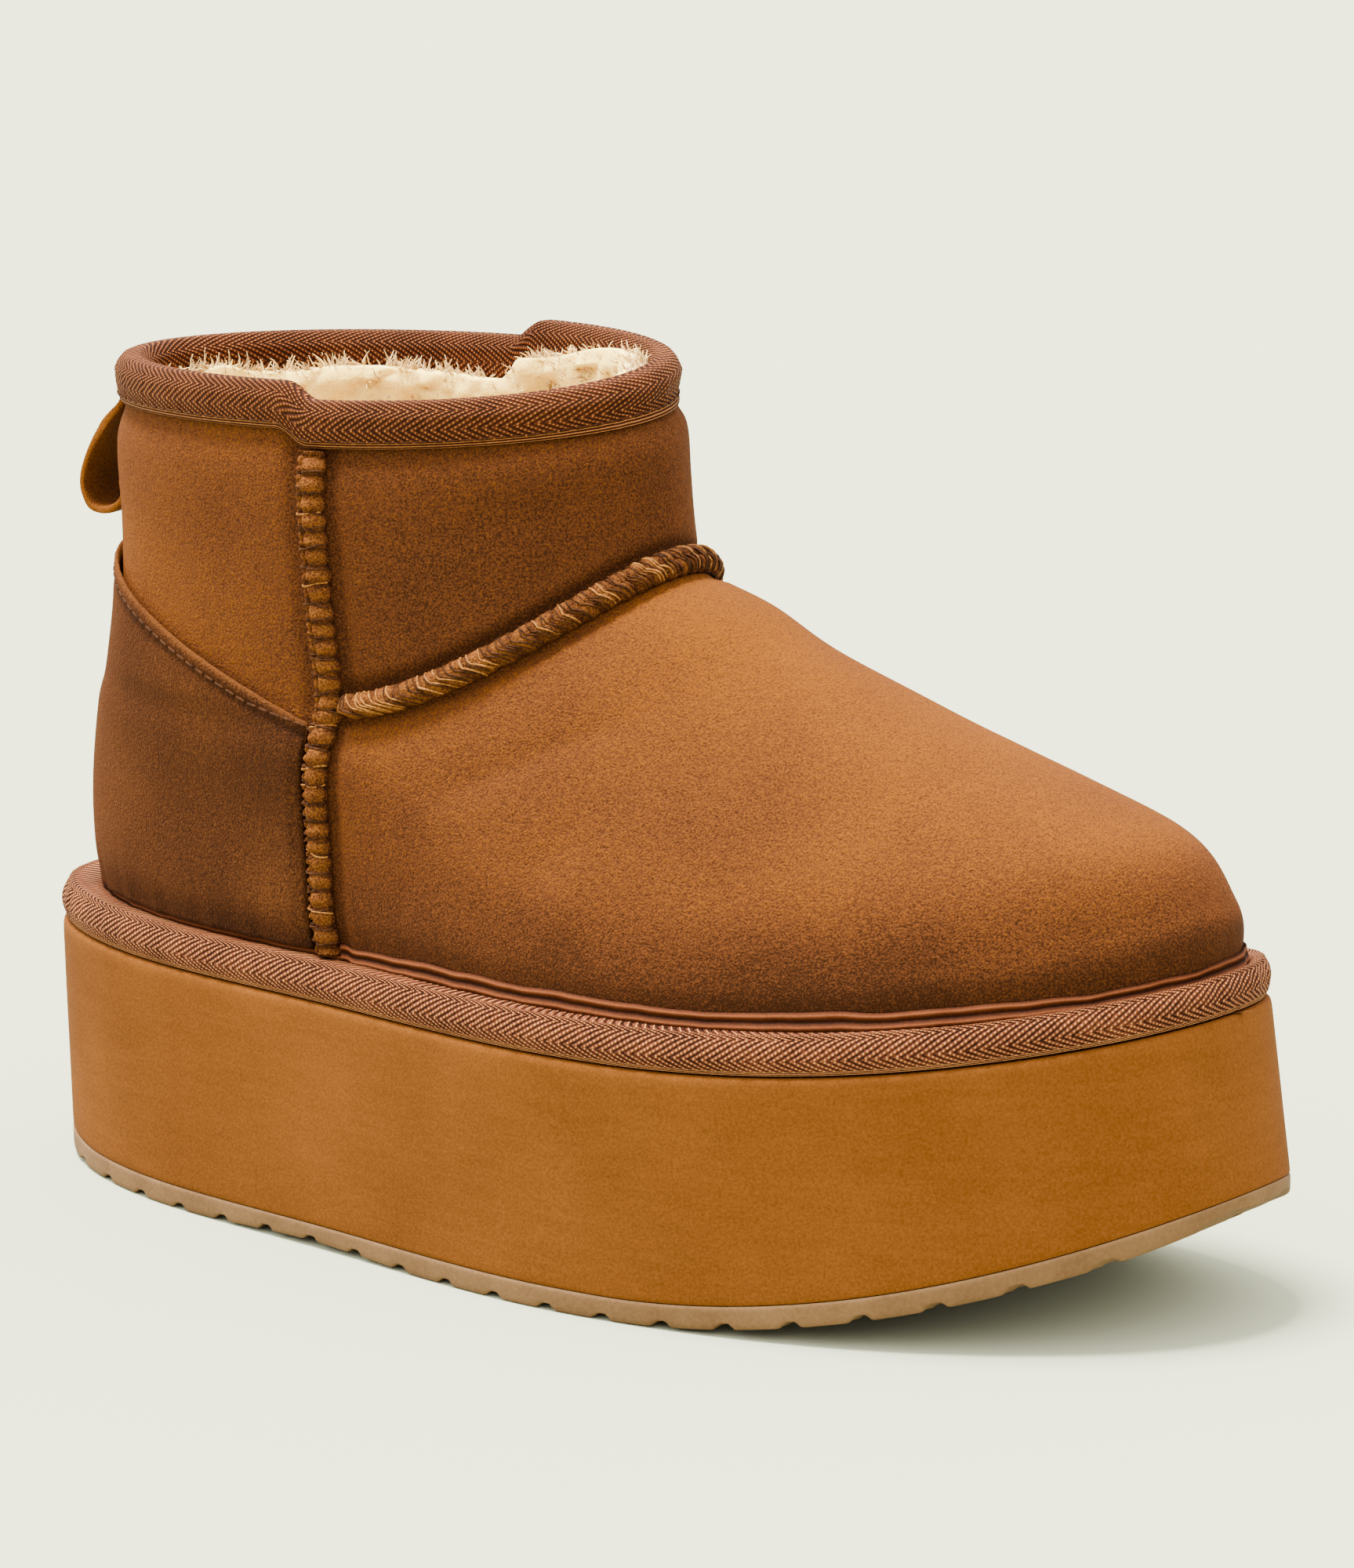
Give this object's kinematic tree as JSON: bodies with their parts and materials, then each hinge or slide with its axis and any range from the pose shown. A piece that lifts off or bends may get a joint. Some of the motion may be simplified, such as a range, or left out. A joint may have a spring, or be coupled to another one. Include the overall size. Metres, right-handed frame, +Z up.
{
  "type": "sheepskin boot",
  "caption": "low suede sheepskin boot with wool lining, taped collar, heel pull loop and a thick flat foam platform sole",
  "frame": {"origin": "on the floor under the middle of the sole's length, on the lengthwise line through the heel", "axes": "+X from heel to toe, +Y towards the inner side of the foot, +Z up"},
  "size_m": [0.2676, 0.1039, 0.1669],
  "materials": {
    "rubber": "matt beige tan rubber",
    "foam": "matt foam with a fine sandy grain",
    "tape": "herringbone woven tape",
    "suede": "chestnut suede with a short nap",
    "counter_suede": "darker chestnut suede with a short nap",
    "seam_suede": "suede edges bound with thick thread",
    "wool": "cream curly wool pile"
  },
  "bodies": {
    "root": {"outsole": "rubber", "platform": "foam", "rim_tape": "tape", "upper": "suede", "wool_lining": "wool", "insole": "wool", "heel_counter": "counter_suede", "side_seam_outer": "seam_suede", "side_seam_inner": "seam_suede", "vamp_seam": "seam_suede", "collar_tape": "tape", "pull_loop": "counter_suede"}
  },
  "joints": []
}
